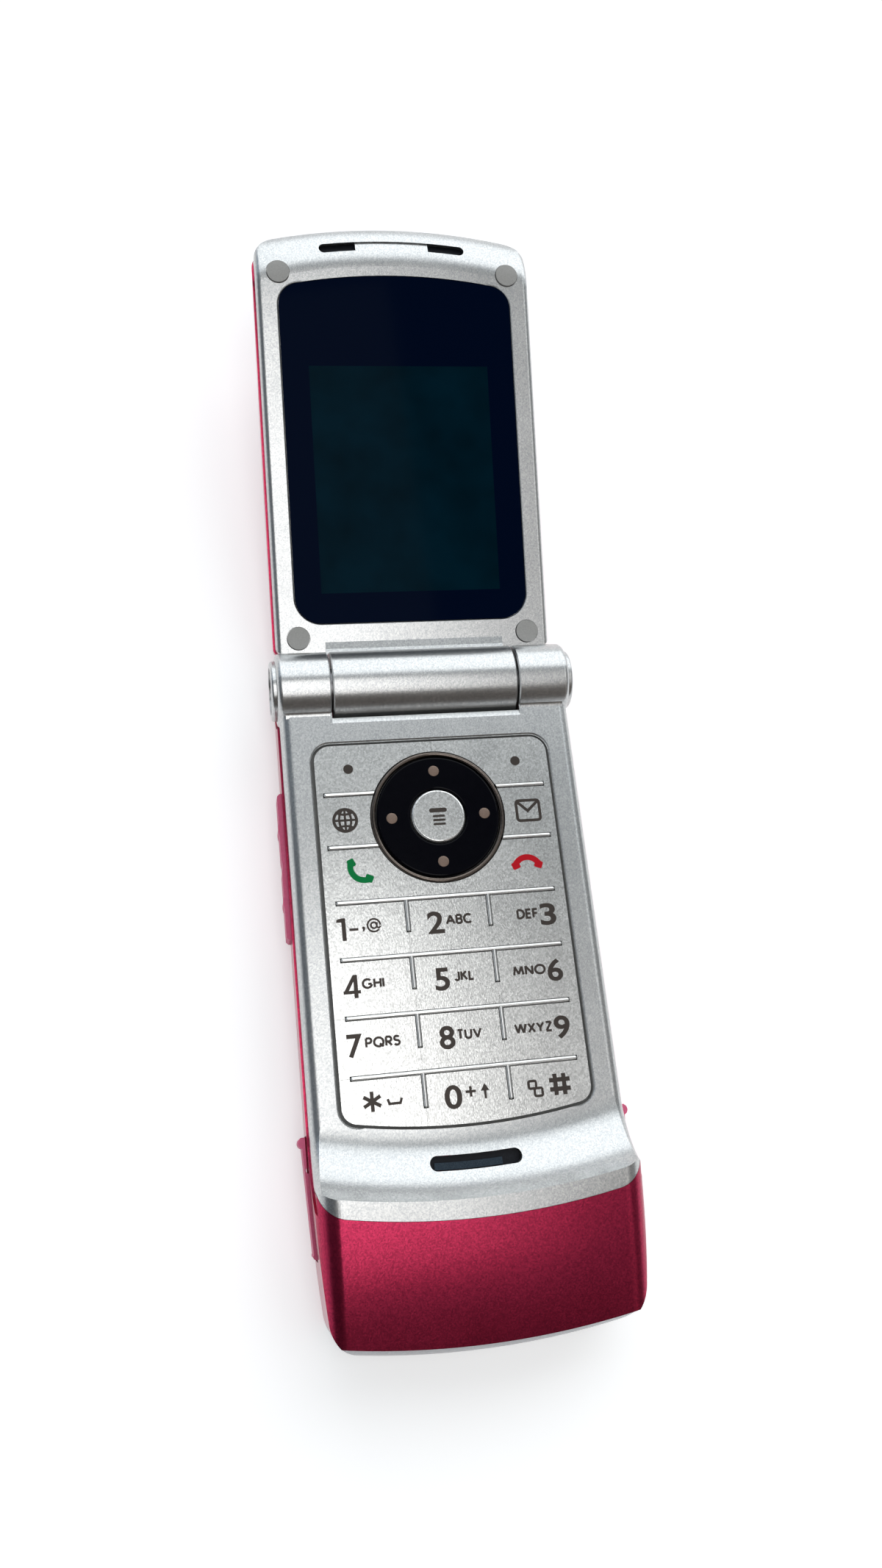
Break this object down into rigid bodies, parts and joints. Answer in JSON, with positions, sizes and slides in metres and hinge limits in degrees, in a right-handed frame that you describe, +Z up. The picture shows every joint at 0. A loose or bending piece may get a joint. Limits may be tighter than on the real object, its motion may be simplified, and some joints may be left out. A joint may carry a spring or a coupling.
{
  "type": "flip phone",
  "caption": "Clamshell flip phone, lid open: hinge barrel, display lid, keypad with navigation ring, side rocker, port flaps and sliding battery door.",
  "frame": {"origin": "middle of the flat back, on the battery door", "axes": "+X to the right, +Y from the chin to the lid, +Z up out of the keypad"},
  "size_m": [0.0464, 0.1653, 0.0246],
  "materials": {
    "silver_shell": "metallic paint",
    "silver_keys": "metallic paint",
    "pink_shell": "metallic paint",
    "pink_rubber": "matt",
    "dark_lens": "polished",
    "bronze_trim": "polished",
    "grey_rubber": "matt",
    "dark_plastic": "matt",
    "board": "satin",
    "display": "satin",
    "steel": "brushed",
    "contacts": "plated"
  },
  "bodies": {
    "base": {"front_housing": "silver_shell", "rear_housing": "pink_shell", "chin_cover": "pink_shell", "battery": "dark_plastic", "battery_contacts": "contacts", "main_board": "board", "dome_sheet": "steel", "keymat": "grey_rubber", "key_ridges": "silver_keys", "nav_trim": "bronze_trim", "usb_socket": "steel", "headset_socket": "dark_plastic", "microphone": "dark_plastic", "loudspeaker": "dark_plastic", "vibration_motor": "steel", "antenna": "dark_plastic", "base_screws": "steel", "hinge_cam_shaft": "steel", "hinge_bush": "steel", "hinge_end_caps": "silver_shell", "flex_cable": "contacts"},
    "lid": {"lid_inner_bezel": "silver_shell", "lid_outer_cover": "pink_shell", "display_lens": "dark_lens", "display_panel": "display", "earpiece_insert": "silver_shell", "earpiece_mesh": "dark_plastic", "earpiece_speaker": "dark_plastic", "lid_bumpers": "grey_rubber", "lid_screws": "steel", "lid_board": "board", "outer_window": "dark_lens", "outer_display": "display", "hinge_cartridge": "steel", "hinge_spring": "steel"},
    "nav_pivot": {"nav_pivot": "grey_rubber"},
    "nav_ring": {"nav_ring": "dark_lens"},
    "select_key": {"select_key": "silver_keys"},
    "soft_key_left": {"soft_key_left": "silver_keys"},
    "soft_key_right": {"soft_key_right": "silver_keys"},
    "browser_key": {"browser_key": "silver_keys"},
    "message_key": {"message_key": "silver_keys"},
    "send_key": {"send_key": "silver_keys"},
    "end_key": {"end_key": "silver_keys"},
    "key_1": {"key_1": "silver_keys"},
    "key_2": {"key_2": "silver_keys"},
    "key_3": {"key_3": "silver_keys"},
    "key_4": {"key_4": "silver_keys"},
    "key_5": {"key_5": "silver_keys"},
    "key_6": {"key_6": "silver_keys"},
    "key_7": {"key_7": "silver_keys"},
    "key_8": {"key_8": "silver_keys"},
    "key_9": {"key_9": "silver_keys"},
    "key_star": {"key_star": "silver_keys"},
    "key_0": {"key_0": "silver_keys"},
    "key_hash": {"key_hash": "silver_keys"},
    "volume_rocker": {"volume_rocker": "pink_rubber"},
    "usb_flap": {"usb_flap": "pink_rubber"},
    "headset_flap": {"headset_flap": "pink_rubber"},
    "battery_door": {"battery_door": "silver_shell"}
  },
  "joints": [
    {"name": "lid_hinge", "type": "hinge", "parent": "base", "child": "lid", "pos_m": [0, 0.044, 0.009], "axis": [1, 0, 0], "range_deg": [0, 163.8]},
    {"name": "nav_up_down", "type": "hinge", "parent": "base", "child": "nav_pivot", "pos_m": [0, 0.02255, 0.01087], "axis": [1, 0, 0], "range_deg": [-1.3, 1.3], "stiffness_Nm_per_rad": 0.02},
    {"name": "nav_left_right", "type": "hinge", "parent": "nav_pivot", "child": "nav_ring", "pos_m": [0, 0.02255, 0.01087], "axis": [0, 1, 0], "range_deg": [-1.3, 1.3], "stiffness_Nm_per_rad": 0.02},
    {"name": "select_key_press", "type": "slide", "parent": "base", "child": "select_key", "axis": [0, 0, -1], "range_m": [0, 0.00025], "stiffness_N_per_m": 150},
    {"name": "soft_key_left_press", "type": "slide", "parent": "base", "child": "soft_key_left", "axis": [0, 0, -1], "range_m": [0, 0.00025], "stiffness_N_per_m": 150},
    {"name": "soft_key_right_press", "type": "slide", "parent": "base", "child": "soft_key_right", "axis": [0, 0, -1], "range_m": [0, 0.00025], "stiffness_N_per_m": 150},
    {"name": "browser_key_press", "type": "slide", "parent": "base", "child": "browser_key", "axis": [0, 0, -1], "range_m": [0, 0.00025], "stiffness_N_per_m": 150},
    {"name": "message_key_press", "type": "slide", "parent": "base", "child": "message_key", "axis": [0, 0, -1], "range_m": [0, 0.00025], "stiffness_N_per_m": 150},
    {"name": "send_key_press", "type": "slide", "parent": "base", "child": "send_key", "axis": [0, 0, -1], "range_m": [0, 0.00025], "stiffness_N_per_m": 150},
    {"name": "end_key_press", "type": "slide", "parent": "base", "child": "end_key", "axis": [0, 0, -1], "range_m": [0, 0.00025], "stiffness_N_per_m": 150},
    {"name": "key_1_press", "type": "slide", "parent": "base", "child": "key_1", "axis": [0, 0, -1], "range_m": [0, 0.00025], "stiffness_N_per_m": 150},
    {"name": "key_2_press", "type": "slide", "parent": "base", "child": "key_2", "axis": [0, 0, -1], "range_m": [0, 0.00025], "stiffness_N_per_m": 150},
    {"name": "key_3_press", "type": "slide", "parent": "base", "child": "key_3", "axis": [0, 0, -1], "range_m": [0, 0.00025], "stiffness_N_per_m": 150},
    {"name": "key_4_press", "type": "slide", "parent": "base", "child": "key_4", "axis": [0, 0, -1], "range_m": [0, 0.00025], "stiffness_N_per_m": 150},
    {"name": "key_5_press", "type": "slide", "parent": "base", "child": "key_5", "axis": [0, 0, -1], "range_m": [0, 0.00025], "stiffness_N_per_m": 150},
    {"name": "key_6_press", "type": "slide", "parent": "base", "child": "key_6", "axis": [0, 0, -1], "range_m": [0, 0.00025], "stiffness_N_per_m": 150},
    {"name": "key_7_press", "type": "slide", "parent": "base", "child": "key_7", "axis": [0, 0, -1], "range_m": [0, 0.00025], "stiffness_N_per_m": 150},
    {"name": "key_8_press", "type": "slide", "parent": "base", "child": "key_8", "axis": [0, 0, -1], "range_m": [0, 0.00025], "stiffness_N_per_m": 150},
    {"name": "key_9_press", "type": "slide", "parent": "base", "child": "key_9", "axis": [0, 0, -1], "range_m": [0, 0.00025], "stiffness_N_per_m": 150},
    {"name": "key_star_press", "type": "slide", "parent": "base", "child": "key_star", "axis": [0, 0, -1], "range_m": [0, 0.00025], "stiffness_N_per_m": 150},
    {"name": "key_0_press", "type": "slide", "parent": "base", "child": "key_0", "axis": [0, 0, -1], "range_m": [0, 0.00025], "stiffness_N_per_m": 150},
    {"name": "key_hash_press", "type": "slide", "parent": "base", "child": "key_hash", "axis": [0, 0, -1], "range_m": [0, 0.00025], "stiffness_N_per_m": 150},
    {"name": "volume_rock", "type": "hinge", "parent": "base", "child": "volume_rocker", "pos_m": [-0.0215, 0.0176, 0.0059], "axis": [0, 0, 1], "range_deg": [-1.2, 1.2], "stiffness_Nm_per_rad": 0.02},
    {"name": "usb_flap_swing", "type": "hinge", "parent": "base", "child": "usb_flap", "pos_m": [-0.02187, -0.0355, 0.0058], "axis": [0, 0, 1], "range_deg": [0, 90]},
    {"name": "headset_flap_swing", "type": "hinge", "parent": "base", "child": "headset_flap", "pos_m": [0.02187, -0.0355, 0.0058], "axis": [0, 0, 1], "range_deg": [-90, 0]},
    {"name": "battery_door_slide", "type": "slide", "parent": "base", "child": "battery_door", "axis": [0, -1, 0], "range_m": [0, 0.084]}
  ]
}
